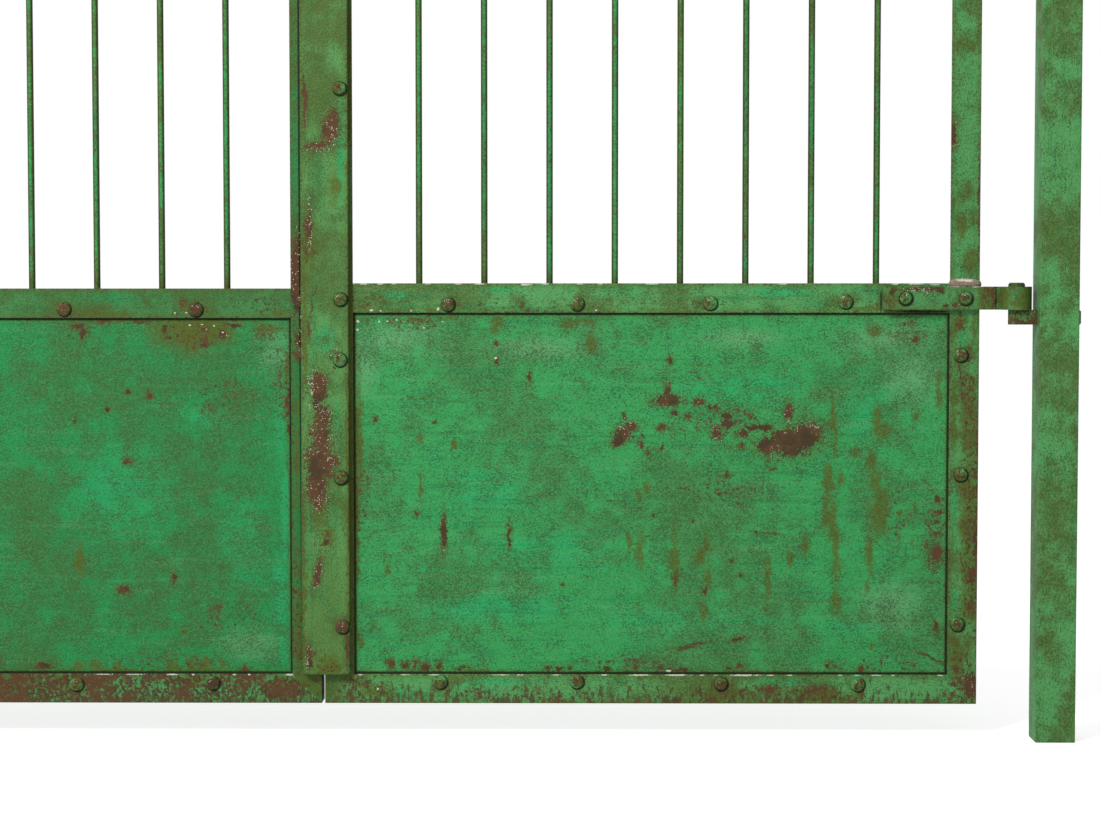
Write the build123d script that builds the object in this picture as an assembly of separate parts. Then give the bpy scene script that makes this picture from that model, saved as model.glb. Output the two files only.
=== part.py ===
from build123d import *
import math
import os

# A two-leaf iron gate between two square posts. Each leaf is a mitred frame of angle iron
# with a middle rail, a sheet panel riveted in below it and round bars above it.
# Millimetres. X runs from the left post to the right one, Y from front to back, Z up.
# The origin is the middle of the left post's foot.

# Leaves
leaf_width = 1000.0
leaf_height = 1900.0
ground_gap = 50.0
seam_gap = 5.0

# Angle iron
angle_leg = 45.0
angle_thickness = 5.0
angle_root_radius = 5.0
angle_toe_radius = 2.5
rolled_edge_radius = 0.8

# Middle rails, their tops above each leaf's bottom edge
right_mid_rail_top = 645.0
left_mid_rail_top = 637.0

# Round bars
bar_diameter = 10.0
bar_pitch = 100.0
first_bar_offset = 100.0
last_bar_margin = 60.0
bar_setback = 25.0
tenon_width = 7.0
tenon_clearance = 0.15
peen_width = 11.0
peen_height = 2.5

# Sheet panels
panel_thickness = 2.0
panel_edge_gap = 1.5

# Cover strip over the seam and the flat bar that packs it off the right leaf
cover_overlap = 30.5
cover_width = 72.0
cover_thickness = 8.0
cover_foot_gap = 1.0
cover_corner_radius = 6.0
cover_edge_chamfer = 0.8
cover_running_gap = 5.0
packing_width = 36.0

# Strap hinges
strap_height = 35.0
strap_thickness = 10.0
strap_reach = 148.0
strap_corner_cut = 2.0
eye_slit = 0.8
eye_to_leaf = 29.0

# Pintles
pin_diameter = 25.0
pin_clearance = 0.4
pin_rise = 6.0
pin_chamfer = 2.5
eye_end_clearance = 0.3
arm_height = 22.0
tail_width = 18.0
tail_clearance = 0.2
tail_head_width = 28.0
tail_head_height = 6.0

# Posts
post_width = 60.0
post_to_eye = 7.0
post_rise = 80.0
post_cap_height = 18.0
post_cap_flat = 12.0
post_edge_radius = 2.5

# Worked out from the sizes above
pin_radius = pin_diameter / 2
bore_radius = pin_radius + pin_clearance
eye_radius = bore_radius + strap_thickness
pin_to_leaf = eye_radius + eye_to_leaf
pin_to_post = eye_radius + post_to_eye
left_pin_x = post_width / 2 + pin_to_post
right_pin_x = left_pin_x + 2 * (pin_to_leaf + leaf_width) + seam_gap
seam_x = (left_pin_x + right_pin_x) / 2
leaf_front = eye_radius
post_height = ground_gap + leaf_height + post_rise
mid_rail_tops = {"left": left_mid_rail_top, "right": right_mid_rail_top}


def angle_section():
    """Section of the rolled angle: heel at the origin, one leg along X and one along Y."""
    corners = [
        (0, 0),
        (angle_leg, 0),
        (angle_leg, angle_thickness),
        (angle_thickness, angle_thickness),
        (angle_thickness, angle_leg),
        (0, angle_leg),
    ]
    radii = [
        rolled_edge_radius,
        rolled_edge_radius,
        angle_toe_radius,
        angle_root_radius,
        angle_toe_radius,
        rolled_edge_radius,
    ]
    return make_face(FilletPolyline(*corners, radius=radii, close=True))


def angle_bar(length):
    """Angle along X with its heel on the X axis, one leg standing up and one going back."""
    return extrude(Plane.YZ * angle_section(), length)


def mitred_angle(length):
    """Angle cut at 45 degrees at both ends, as the frame's corners are."""
    bar = angle_bar(length)
    near_end = Plane(origin=(0, 0, 0), z_dir=(1, 0, -1))
    far_end = Plane(origin=(length, 0, 0), z_dir=(-1, 0, -1))
    bar = split(bar, bisect_by=near_end, keep=Keep.TOP)
    return split(bar, bisect_by=far_end, keep=Keep.TOP)


def bar_positions():
    """Distance of each bar from the leaf's hinge edge, the bar nearest the seam first."""
    inside_width = leaf_width - 2 * angle_leg
    room = inside_width - first_bar_offset - last_bar_margin
    count = 1 + math.floor(room / bar_pitch)
    first = leaf_width - angle_leg - first_bar_offset
    return [first - index * bar_pitch for index in range(count)]


def square_peg(side, length, head_side, head_height):
    """Square peg standing up from the origin, its far end hammered out into a flat-topped head."""
    peg = extrude(Rectangle(side, side), length)
    head_low = Pos(0, 0, length) * Rectangle(head_side, head_side)
    head_high = Pos(0, 0, length + head_height) * Rectangle(side, side)
    return peg + loft([head_low, head_high])


def bar_hole(distance):
    """Tool that punches a bar's square hole through any rail above or below the bar."""
    side = tenon_width + 2 * tenon_clearance
    return Pos(distance, bar_setback, 0) * Box(side, side, leaf_height * 2 + angle_leg)


def bar(distance, low_seat, high_seat):
    """Round bar shouldered on two rails, its square tenons hammered over on their far sides."""
    shank = extrude(Circle(bar_diameter / 2), high_seat - low_seat)
    tenon = square_peg(tenon_width, angle_thickness, peen_width, peen_height)
    upper = Pos(0, 0, high_seat - low_seat) * tenon
    lower = Rot(180, 0, 0) * tenon
    return Pos(distance, bar_setback, low_seat) * (shank + upper + lower)


def cope(mid_rail_top):
    """Tool that notches the middle rail's end to sit behind a stile's front leg and clear its root."""
    back_of_root = angle_thickness + angle_root_radius
    outline = [
        (0, -angle_thickness),
        (angle_leg, -angle_thickness),
        (angle_leg, angle_thickness),
        (back_of_root, angle_thickness),
        (angle_thickness, back_of_root),
        (0, back_of_root),
    ]
    notch = extrude(make_face(Polyline(*outline, close=True)), angle_leg * 2)
    return Pos(0, 0, mid_rail_top - angle_leg * 1.5) * notch


def leaf_frame(mid_rail_top):
    """The four mitred members of a leaf and its middle rail, hinge edge at X = 0."""
    bottom_rail = mitred_angle(leaf_width)
    top_rail = Pos(leaf_width, 0, leaf_height) * Rot(0, 180, 0) * mitred_angle(leaf_width)
    hinge_stile = Pos(0, 0, leaf_height) * Rot(0, 90, 0) * mitred_angle(leaf_height)
    meeting_stile = Pos(leaf_width, 0, 0) * Rot(0, -90, 0) * mitred_angle(leaf_height)
    mid_length = leaf_width - 2 * angle_thickness
    mid_start = Pos(leaf_width - angle_thickness, 0, mid_rail_top)
    mid_rail = mid_start * Rot(0, 180, 0) * angle_bar(mid_length)
    mid_rail = mid_rail - cope(mid_rail_top) - Pos(leaf_width, 0, 0) * mirror(cope(mid_rail_top), Plane.YZ)
    for distance in bar_positions():
        top_rail = top_rail - bar_hole(distance)
        mid_rail = mid_rail - bar_hole(distance)
    return {
        "bottom_rail": bottom_rail,
        "mid_rail": mid_rail,
        "top_rail": top_rail,
        "hinge_stile": hinge_stile,
        "meeting_stile": meeting_stile,
    }


def panel(mid_rail_top):
    """Sheet that lies against the backs of the frame's front legs, clear of the root radii."""
    edge = angle_thickness + angle_root_radius + panel_edge_gap
    width = leaf_width - 2 * edge
    height = mid_rail_top - 2 * edge
    sheet = Box(width, panel_thickness, height, align=(Align.MIN, Align.MIN, Align.MIN))
    return Pos(edge, angle_thickness, edge) * sheet


def leaf_bars(mid_rail_top):
    """Bars between the middle and top rails, the one nearest the seam first."""
    high_seat = leaf_height - angle_thickness
    return [bar(distance, mid_rail_top, high_seat) for distance in bar_positions()]


def leaf(mid_rail_top):
    """All pieces of a leaf, its hinge edge at X = 0, front at Y = 0 and bottom at Z = 0."""
    pieces = leaf_frame(mid_rail_top)
    pieces["panel"] = panel(mid_rail_top)
    for number, piece in enumerate(leaf_bars(mid_rail_top), start=1):
        pieces[f"bar_{number}"] = piece
    return pieces


def strap():
    """Strap hinge about the pin's axis: a flat bar whose end is rolled to the front into an eye."""
    length = pin_to_leaf + strap_reach
    inner_face = eye_radius - strap_thickness
    flat = Pos(0, inner_face) * Rectangle(length, strap_thickness, align=Align.MIN)
    slit = Pos(0, inner_face - eye_slit) * Rectangle(eye_radius, eye_slit, align=Align.MIN)
    outline = flat + Circle(eye_radius) - Circle(bore_radius) - slit
    hinge = extrude(outline, strap_height / 2, both=True)
    end_corners = hinge.edges().filter_by(Axis.Y).group_by(Axis.X)[-1]
    return chamfer(end_corners, strap_corner_cut)


def pintle():
    """Hook about the pin's axis: a pin on an arm, with a square tail riveted over behind the post."""
    arm_top = -strap_height / 2 - eye_end_clearance
    pin_top = strap_height / 2 + pin_rise
    pin = Pos(0, 0, arm_top) * extrude(Circle(pin_radius), pin_top - arm_top)
    pin = chamfer(pin.edges().group_by(Axis.Z)[-1], pin_chamfer)
    arm_plan = Circle(pin_radius) + Rectangle(pin_to_post, pin_diameter, align=(Align.MAX, Align.CENTER))
    arm = Pos(0, 0, arm_top - arm_height) * extrude(arm_plan, arm_height)
    tail = square_peg(tail_width, post_width, tail_head_width, tail_head_height)
    tail = Pos(-pin_to_post, 0, arm_top - arm_height / 2) * Rot(0, -90, 0) * tail
    return pin + arm + tail


def post(strap_heights):
    """Square post on its foot, with a low pointed top and a hole for each pintle's tail."""
    square = RectangleRounded(post_width, post_width, post_edge_radius)
    shaft = extrude(square, post_height)
    cap_top = RectangleRounded(post_cap_flat, post_cap_flat, post_edge_radius)
    cap = loft([Pos(0, 0, post_height) * square, Pos(0, 0, post_height + post_cap_height) * cap_top])
    piece = shaft + cap
    side = tail_width + 2 * tail_clearance
    for height in strap_heights:
        tail_height = height - strap_height / 2 - eye_end_clearance - arm_height / 2
        piece = piece - Pos(0, 0, tail_height) * Box(post_width * 2, side, side)
    return piece


def cover_strip():
    """Flat bar over the seam, fixed to the right leaf, with two rounded lower corners."""
    foot = ground_gap + angle_leg + cover_foot_gap
    height = ground_gap + leaf_height - foot
    strip = Box(cover_width, cover_thickness, height, align=(Align.MIN, Align.MAX, Align.MIN))
    low_corners = strip.edges().filter_by(Axis.Y).group_by(Axis.Z)[0]
    strip = fillet(low_corners, cover_corner_radius)
    strip = chamfer(strip.faces().sort_by(Axis.Y)[0].edges(), cover_edge_chamfer)
    return Pos(seam_x - cover_overlap, leaf_front - cover_running_gap, foot) * strip


def cover_packing():
    """Thinner flat bar between the cover strip and the right leaf's meeting stile."""
    foot = ground_gap + angle_leg + cover_foot_gap
    height = ground_gap + leaf_height - foot
    strip = Box(packing_width, cover_running_gap, height, align=(Align.MIN, Align.MAX, Align.MIN))
    return Pos(seam_x + seam_gap / 2, leaf_front, foot) * strip


def on_side(side, shape):
    """Set a piece made about a pin's axis on its own side of the gate."""
    if side == "left":
        return Pos(left_pin_x, 0, 0) * shape
    return Pos(right_pin_x, 0, 0) * mirror(shape, Plane.YZ)


def strap_levels(side):
    """Heights of a leaf's two straps, each in the middle of the rail that it is riveted to."""
    return {
        "lower": ground_gap + mid_rail_tops[side] - angle_leg / 2,
        "upper": ground_gap + leaf_height - angle_leg / 2,
    }


def gate():
    """Every piece of the gate, by name."""
    pieces = {}
    for side in ("left", "right"):
        levels = strap_levels(side)
        shaft = post(list(levels.values()))
        pieces[f"{side}_post"] = on_side(side, Pos(-pin_to_post - post_width / 2, 0, 0) * shaft)
        for level, height in levels.items():
            pieces[f"{side}_{level}_pintle"] = on_side(side, Pos(0, 0, height) * pintle())
            pieces[f"{side}_{level}_strap"] = on_side(side, Pos(0, 0, height) * strap())
        for name, piece in leaf(mid_rail_tops[side]).items():
            placed = Pos(pin_to_leaf, leaf_front, ground_gap) * piece
            pieces[f"{side}_{name}"] = on_side(side, placed)
    pieces["cover_strip"] = cover_strip()
    pieces["cover_packing"] = cover_packing()
    return pieces


os.makedirs("parts", exist_ok=True)
for node, shape in gate().items():
    export_step(shape, f"parts/{node}.step")
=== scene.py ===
import math
import random
from collections import namedtuple

import bmesh
import bpy
from mathutils import Matrix, Vector


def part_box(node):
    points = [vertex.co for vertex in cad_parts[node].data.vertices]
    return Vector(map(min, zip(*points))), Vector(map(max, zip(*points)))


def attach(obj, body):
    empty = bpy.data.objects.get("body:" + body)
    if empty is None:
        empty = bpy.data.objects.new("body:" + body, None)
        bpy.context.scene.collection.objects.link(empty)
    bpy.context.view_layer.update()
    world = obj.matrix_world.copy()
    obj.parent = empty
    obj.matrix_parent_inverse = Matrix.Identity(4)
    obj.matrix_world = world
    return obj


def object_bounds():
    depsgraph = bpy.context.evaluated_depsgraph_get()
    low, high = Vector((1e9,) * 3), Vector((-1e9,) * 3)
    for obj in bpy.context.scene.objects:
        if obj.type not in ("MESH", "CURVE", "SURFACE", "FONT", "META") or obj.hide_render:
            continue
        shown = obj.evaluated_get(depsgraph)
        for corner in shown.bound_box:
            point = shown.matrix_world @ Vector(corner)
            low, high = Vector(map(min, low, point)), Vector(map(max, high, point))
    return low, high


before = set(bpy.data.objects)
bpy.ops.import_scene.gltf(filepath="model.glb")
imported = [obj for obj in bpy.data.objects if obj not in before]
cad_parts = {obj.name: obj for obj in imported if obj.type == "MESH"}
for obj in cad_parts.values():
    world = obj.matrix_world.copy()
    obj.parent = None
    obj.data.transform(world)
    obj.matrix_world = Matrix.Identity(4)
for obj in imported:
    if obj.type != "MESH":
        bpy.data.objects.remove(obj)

bl_info = {
    "name": "Riveted iron gate",
    "version": (1, 0, 0),
    "blender": (4, 5, 0),
    "location": "View3D > Sidebar > Gate",
    "description": "Paint, rust, rivets and studio for a double gate of angle iron and sheet",
    "category": "Object",
}

# The frame, and places on its leaves

MM = 0.001
CAD_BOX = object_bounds()
Leaf = namedtuple("Leaf", "side body meeting away bottom front")


def leaf_of(side, away):
    """The leaf's meeting edge, the direction from it to the hinges, its bottom and its front."""
    low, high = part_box(f"{side}_meeting_stile")
    meeting = low.x if away > 0 else high.x
    return Leaf(side, f"{side}_leaf", meeting, away, low.z, low.y)


RIGHT = leaf_of("right", 1)
LEFT = leaf_of("left", -1)
LEAVES = {"right": RIGHT, "left": LEFT}
LEVELS = ("lower", "upper")
PANEL_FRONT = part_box("right_panel")[0].y
PANEL_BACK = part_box("right_panel")[1].y
COVER_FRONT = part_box("cover_strip")[0].y
STRAP_THICKNESS = 0.010
STRAP_FRONT = RIGHT.front - STRAP_THICKNESS
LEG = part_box("right_bottom_rail")[1].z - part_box("right_bottom_rail")[0].z
LEG_THICKNESS = 0.005
RAIL_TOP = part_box("right_mid_rail")[1].z


def spot(leaf, across, up, y=0.0):
    """A place on a leaf: millimetres across from its meeting edge and up from its bottom."""
    return Vector((leaf.meeting + leaf.away * across * MM, y, leaf.bottom + up * MM))


def srgb(red, green, blue):
    """A colour as it looks on screen, 0 to 255, as the linear values that Blender keeps."""
    parts = [value / 255 for value in (red, green, blue)]
    return tuple(v / 12.92 if v <= 0.04045 else ((v + 0.055) / 1.055) ** 2.4 for v in parts)


def placed(name, data):
    """A new object in the scene."""
    thing = bpy.data.objects.new(name, data)
    bpy.context.scene.collection.objects.link(thing)
    return thing


def evaluated(thing):
    """A mesh of what an object's modifiers make."""
    graph = bpy.context.evaluated_depsgraph_get()
    return bpy.data.meshes.new_from_object(thing.evaluated_get(graph))


# Settings that a user would change


def colour(name, description, *parts):
    return bpy.props.FloatVectorProperty(
        name=name, description=description, default=srgb(*parts), subtype="COLOR", min=0, max=1
    )


def number(name, description, default, **limits):
    return bpy.props.FloatProperty(name=name, description=description, default=default, **limits)


def length(name, description, default):
    return number(name, description, default, min=0, unit="LENGTH", precision=4)


def angle(name, description, degrees):
    return number(name, description, math.radians(degrees), subtype="ANGLE")


class GatePaint(bpy.types.PropertyGroup):
    """Colours of the old green paint and of what shows through it."""

    sheet_green: colour("Sheet green", "Brush-painted sheet, where the paint is sound", 52, 150, 82)
    sheet_dull: colour("Sheet dull green", "Sheet where the paint has weathered", 64, 132, 74)
    deep_green: colour("Deep green", "Greener, darker sheet of the left leaf", 30, 138, 74)
    deep_dull: colour("Deep dull green", "Weathered sheet of the left leaf", 50, 120, 64)
    cover_green: colour("Cover green", "Yellower green of the cover strip", 88, 142, 76)
    bead_grey: colour("Bead grey", "Pinkish grey skin of a weld bead", 150, 128, 112)
    bright_green: colour("Bright green", "Blue-green of thick brush strokes", 32, 162, 98)
    frame_green: colour("Frame green", "Yellower green on the angle iron", 82, 150, 86)
    frame_dull: colour("Frame dull green", "Weathered green on the angle iron", 84, 122, 64)
    shade_green: colour("Shade green", "Dark green left between brush strokes", 40, 92, 46)
    # Pale green also paints the highlight down the middle of the strap's eye.
    pale_green_and_highlight: colour("Pale green", "Chalked, sun-bleached paint", 108, 160, 112)
    # Olive also paints shade on the sides of round bars, on the strap's eye and over the stile beside the
    # cover strip.
    olive_wash_and_shade: colour("Olive", "Dirt and rust wash that has run over the paint", 80, 86, 24)
    rust: colour("Rust", "Settled red-brown rust", 86, 56, 40)
    deep_rust: colour("Deep rust", "Darkest rust, in pits and joints", 62, 42, 33)
    light_rust: colour("Light rust", "Powdery rust", 114, 80, 54)
    # Primer also paints highlight flecks along lit edges, on rivet heads and on weld crests.
    primer_and_glint: colour("Primer", "Pale chips of filler and primer", 208, 204, 190)
    pepper: colour("Pepper", "Small pits of rust all over the paint", 54, 80, 42)
    # Joint dirt also paints shadow under the rails and straps, round the rivet heads, beside the cover strip
    # and on the sides of round bars.
    joint_dirt_and_shade: colour("Joint dirt", "Black dirt where two members meet", 20, 26, 12)


class GateRivets(bpy.types.PropertyGroup):
    """Sizes of the rivet heads."""

    head: length("Head diameter", "Diameter of a formed rivet head", 0.021)
    height: length("Head height", "How far a head stands off the iron", 0.0056)
    low_height: length("Low head height", "Height of the heads that pass under the cover strip", 0.0042)
    back_head: length("Back head diameter", "Diameter of a hammered head behind the sheet", 0.018)
    unevenness: length("Unevenness", "How far hammer marks shift the head's surface", 0.0007)
    seed: bpy.props.IntProperty(name="Seed", description="Choice of turns and sizes", default=11, min=0)


class GateWeld(bpy.types.PropertyGroup):
    """Size of the weld beads that hold the straps."""

    span: length("Length", "Length of a bead along the strap", 0.034)
    rise: length("Height", "Height of a bead above the strap", 0.013)
    depth: length("Depth", "How far a bead stands off the leaf", 0.0075)
    seed: bpy.props.IntProperty(name="Seed", description="Choice of lumps", default=5, min=0)


class GateStudio(bpy.types.PropertyGroup):
    """Camera, floor and light."""

    camera_place: bpy.props.FloatVectorProperty(
        name="Camera",
        description="Place of the camera",
        default=(1.4967, -3.782, 0.695),
        subtype="TRANSLATION",
    )
    look_down: angle("Look down", "Angle below the horizon", 2.955)
    turn: angle("Turn", "Turn to the left of straight ahead", 0.512)
    lens: number("Lens", "Focal length in millimetres", 81.6, min=1)
    floor: length("Floor", "Distance from the gate to the floor's edge", 14.0)
    sky: number("Sky", "Strength of the even light", 0.50, min=0)
    lamp: number("Lamp", "Power of the soft lamp", 205.0, min=0, unit="POWER")


# Nodes


class Nodes:
    """Adds nodes to a tree; most methods give back the socket that they make."""

    def __init__(self, tree):
        self.tree = tree

    def node(self, kind, **settings):
        new = self.tree.nodes.new(kind)
        for key, value in settings.items():
            setattr(new, key, value)
        return new

    def feed(self, socket, value):
        if isinstance(value, bpy.types.NodeSocket):
            self.tree.links.new(value, socket)
        elif socket.type == "RGBA":
            socket.default_value = (*value[:3], 1)
        else:
            socket.default_value = value

    def made(self, kind, values, output=None, **settings):
        """A new node's output, with values fed to the inputs of those names."""
        new = self.node(kind, **settings)
        for name, value in values.items():
            self.feed(next(socket for socket in new.inputs if socket.name == name and socket.enabled), value)
        if output:
            return new.outputs[output]
        return next((socket for socket in new.outputs if socket.enabled), None)

    def sum(self, operation, first, second=0.0):
        new = self.node("ShaderNodeMath", operation=operation)
        self.feed(new.inputs[0], first)
        self.feed(new.inputs[1], second)
        return new.outputs[0]

    def each(self, operation, values):
        result, *others = values
        for value in others:
            result = self.sum(operation, result, value)
        return result

    def add(self, *values):
        return self.each("ADD", values)

    def times(self, *values):
        return self.each("MULTIPLY", values)

    def most(self, *values):
        return self.each("MAXIMUM", values)

    def least(self, *values):
        return self.each("MINIMUM", values)

    def less(self, first, second):
        return self.sum("SUBTRACT", first, second)

    def vector(self, operation, *values):
        new = self.node("ShaderNodeVectorMath", operation=operation)
        sockets = (socket for socket in new.inputs if socket.enabled)
        for socket, value in zip(sockets, values):
            self.feed(socket, value)
        return next(socket for socket in new.outputs if socket.enabled)

    def parts(self, vector):
        new = self.node("ShaderNodeSeparateXYZ")
        self.feed(new.inputs[0], vector)
        return new.outputs

    def fade(self, value, start, end, high=1.0, low=0.0):
        """Rises smoothly from low to high as value goes from start to end."""
        new = self.node("ShaderNodeMapRange", interpolation_type="SMOOTHSTEP")
        for socket, number in zip(new.inputs, (value, start, end, low, high)):
            self.feed(socket, number)
        return new.outputs[0]


class Brush(Nodes):
    """Adds nodes to one new material."""

    def __init__(self, name):
        self.material = bpy.data.materials.new(name)
        self.material.use_nodes = True
        super().__init__(self.material.node_tree)
        self.tree.nodes.clear()
        self.place = self.made("ShaderNodeTexCoord", {}, "Object")

    def noise(self, vector, scale, detail, roughness=0.55, output="Fac"):
        values = {"Vector": vector, "Scale": scale, "Detail": detail, "Roughness": roughness}
        return self.made("ShaderNodeTexNoise", values, output)

    def cells(self, vector, scale):
        new = self.node("ShaderNodeTexVoronoi")
        self.feed(new.inputs["Vector"], vector)
        self.feed(new.inputs["Scale"], scale)
        return new.outputs

    def mix(self, amount, first, second):
        return self.made("ShaderNodeMix", {"Factor": amount, "A": first, "B": second}, data_type="RGBA")

    def marks(self, place, leaf, rows):
        """1 at the middle of the nearest mark, 0 on its outline and less than 0 outside.
        A row is millimetres across, up, wide and high, then degrees where it rises to the right."""
        rows = [(*row, 0)[:5] for row in rows]
        nearest = None
        for tilt in sorted({row[4] for row in rows}):
            angle = math.radians(tilt)
            turned = self.turn(place, angle)
            for across, up, wide, high, _ in (row for row in rows if row[4] == tilt):
                centre = Matrix.Rotation(angle, 3, "Y") @ spot(leaf, across, up)
                share = Vector((2 / (wide * MM), 0, 2 / (high * MM)))
                shift = Vector([-c * part for c, part in zip(centre, share)])
                reach = self.vector("LENGTH", self.vector("MULTIPLY_ADD", turned, share, shift))
                nearest = reach if nearest is None else self.least(nearest, reach)
        return self.less(1.0, nearest)

    def turn(self, vector, angle):
        """The places turned about Y, so that a line rising at that angle lies level."""
        if not angle:
            return vector
        return self.made("ShaderNodeVectorRotate", {"Vector": vector, "Angle": angle}, rotation_type="Y_AXIS")

    def finish(self, base, roughness, height):
        """Ends the tree in a shader with that colour, roughness and relief."""
        normal = self.made("ShaderNodeBump", {"Strength": 1.0, "Distance": RELIEF, "Height": height})
        values = {"Base Color": base, "Roughness": roughness, "Normal": normal, "Specular IOR Level": GLOSS}
        shader = self.made("ShaderNodeBsdfPrincipled", values)
        self.made("ShaderNodeOutputMaterial", {"Surface": shader})
        return self.material


# Marks on the old paint, read off the gate
# A row is millimetres across from the leaf's meeting edge, up from its bottom, wide and high,
# then degrees where it is tilted

RIGHT_PANEL_MARKS = {
    "flaking": [
        (456, 413, 26, 20, 30), (450, 403, 20, 15, 20), (470, 425, 15, 12, 30), (459, 441, 7, 14),
        (526, 465, 44, 17), (526, 478, 11, 24), (575, 464, 16, 14), (618, 444, 15, 13), (616, 431, 20, 16),
        (601, 416, 15, 18), (640, 415, 20, 12), (656, 424, 18, 10), (681, 397, 38, 26), (713, 404, 66, 40),
        (738, 412, 44, 38), (716, 388, 40, 16), (676, 424, 24, 12), (711, 449, 10, 26), (183, 265, 9, 48),
        (263, 526, 8, 12),
    ],
    "rust": [
        (590, 455, 10, 11), (652, 442, 8, 8), (537, 447, 12, 10), (517, 425, 16, 10), (557, 441, 9, 8),
        (598, 455, 8, 9), (686, 360, 12, 7), (529, 528, 10, 12), (575, 500, 6, 6), (640, 395, 9, 10),
        (486, 398, 6, 10), (664, 395, 8, 8), (283, 255, 6, 40), (140, 293, 6, 7), (314, 502, 8, 20),
        (170, 431, 6, 6), (78, 436, 6, 8), (263, 554, 6, 6), (496, 386, 7, 10), (517, 393, 6, 8),
        (617, 353, 11, 8), (504, 290, 7, 6), (605, 323, 6, 8), (563, 281, 6, 6), (626, 220, 7, 6),
        (639, 197, 7, 6), (364, 184, 6, 6), (663, 264, 7, 7), (584, 172, 7, 14), (538, 190, 7, 20),
        (564, 90, 61, 4, 12), (445, 310, 26, 2), (633, 98, 24, 6, 12), (931, 70, 40, 4, -25),
        (686, 261, 46, 2, -8), (555, 84, 31, 4, 12), (101, 60, 11, 15), (123, 57, 15, 12), (140, 60, 9, 12),
        (154, 55, 18, 13), (174, 57, 14, 14), (210, 54, 18, 6), (343, 53, 14, 10), (360, 53, 14, 10),
        (378, 54, 9, 9), (433, 54, 11, 9), (478, 56, 8, 11), (515, 54, 12, 9), (546, 51, 31, 6),
        (619, 54, 12, 9), (638, 56, 12, 9), (774, 58, 9, 11), (822, 53, 15, 8), (940, 314, 12, 12),
        (941, 295, 15, 9), (938, 281, 13, 7), (940, 262, 15, 6), (939, 232, 20, 30), (938, 118, 11, 18),
        (904, 560, 8, 10),
    ],
    "drip": [
        (484, 240, 14, 60), (467, 250, 9, 27), (494, 335, 14, 23), (482, 320, 9, 18), (538, 216, 14, 105),
        (587, 244, 11, 30), (576, 227, 14, 24), (588, 193, 16, 34), (582, 141, 11, 37), (680, 186, 12, 85),
        (738, 244, 11, 26), (714, 220, 9, 27), (779, 283, 16, 60), (785, 240, 14, 80), (769, 296, 14, 50),
        (784, 160, 14, 37), (777, 447, 11, 50), (846, 435, 14, 58), (838, 375, 14, 27), (773, 360, 9, 18),
        (905, 444, 9, 15), (851, 298, 36, 70), (844, 340, 20, 40), (836, 231, 12, 60), (832, 181, 10, 21),
        (148, 329, 6, 40), (97, 207, 9, 14), (147, 408, 11, 15), (199, 396, 11, 15), (410, 558, 15, 34),
        (140, 589, 40, 10), (193, 592, 24, 8), (265, 586, 18, 16), (262, 574, 12, 12), (392, 588, 61, 6),
        (376, 582, 31, 7), (840, 570, 22, 20), (772, 346, 16, 42), (791, 347, 10, 24), (815, 386, 10, 14),
        (881, 295, 12, 14), (881, 257, 6, 18), (902, 249, 8, 14), (905, 306, 6, 24), (782, 405, 7, 50),
        (851, 420, 30, 24), (840, 87, 9, 14),
    ],
    "scatter": [
        (600, 432, 240, 80), (470, 412, 90, 60), (710, 400, 130, 80), (880, 290, 60, 90),
        (120, 60, 140, 26), (900, 575, 130, 50), (935, 250, 50, 220), (850, 60, 200, 40),
        (480, 60, 260, 30), (140, 585, 220, 30), (620, 330, 220, 70), (60, 300, 40, 200),
    ],
    "stain_and_shade": [
        (54, 420, 12, 180), (50, 320, 8, 300), (54, 94, 10, 21), (940, 480, 10, 64), (190, 47, 300, 7),
        (430, 47, 160, 6), (640, 47, 200, 6),
    ],
    "chalk_and_highlight": [
        (110, 560, 150, 60), (60, 520, 60, 110), (860, 560, 190, 60), (900, 500, 110, 110),
        (330, 545, 200, 40), (640, 560, 150, 40), (870, 150, 120, 90),
    ],
    "bright": [
        (152, 208, 18, 9), (183, 202, 67, 6, -8), (249, 193, 76, 6, -8), (323, 193, 79, 6, 6),
        (407, 204, 95, 6, 6), (330, 235, 190, 60), (250, 150, 260, 60), (560, 130, 300, 40),
        (620, 480, 230, 50, 6), (250, 330, 120, 70), (830, 450, 90, 90), (810, 120, 110, 30),
    ],
    "edge": [
        (53, 603, 4, 4), (52, 587, 5, 5), (52, 574, 5, 5), (85, 587, 6, 3), (97, 587, 5, 3),
        (111, 589, 5, 3), (153, 577, 4, 3), (182, 586, 4, 3), (263, 531, 8, 4), (528, 50, 9, 4),
    ],
}

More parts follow.
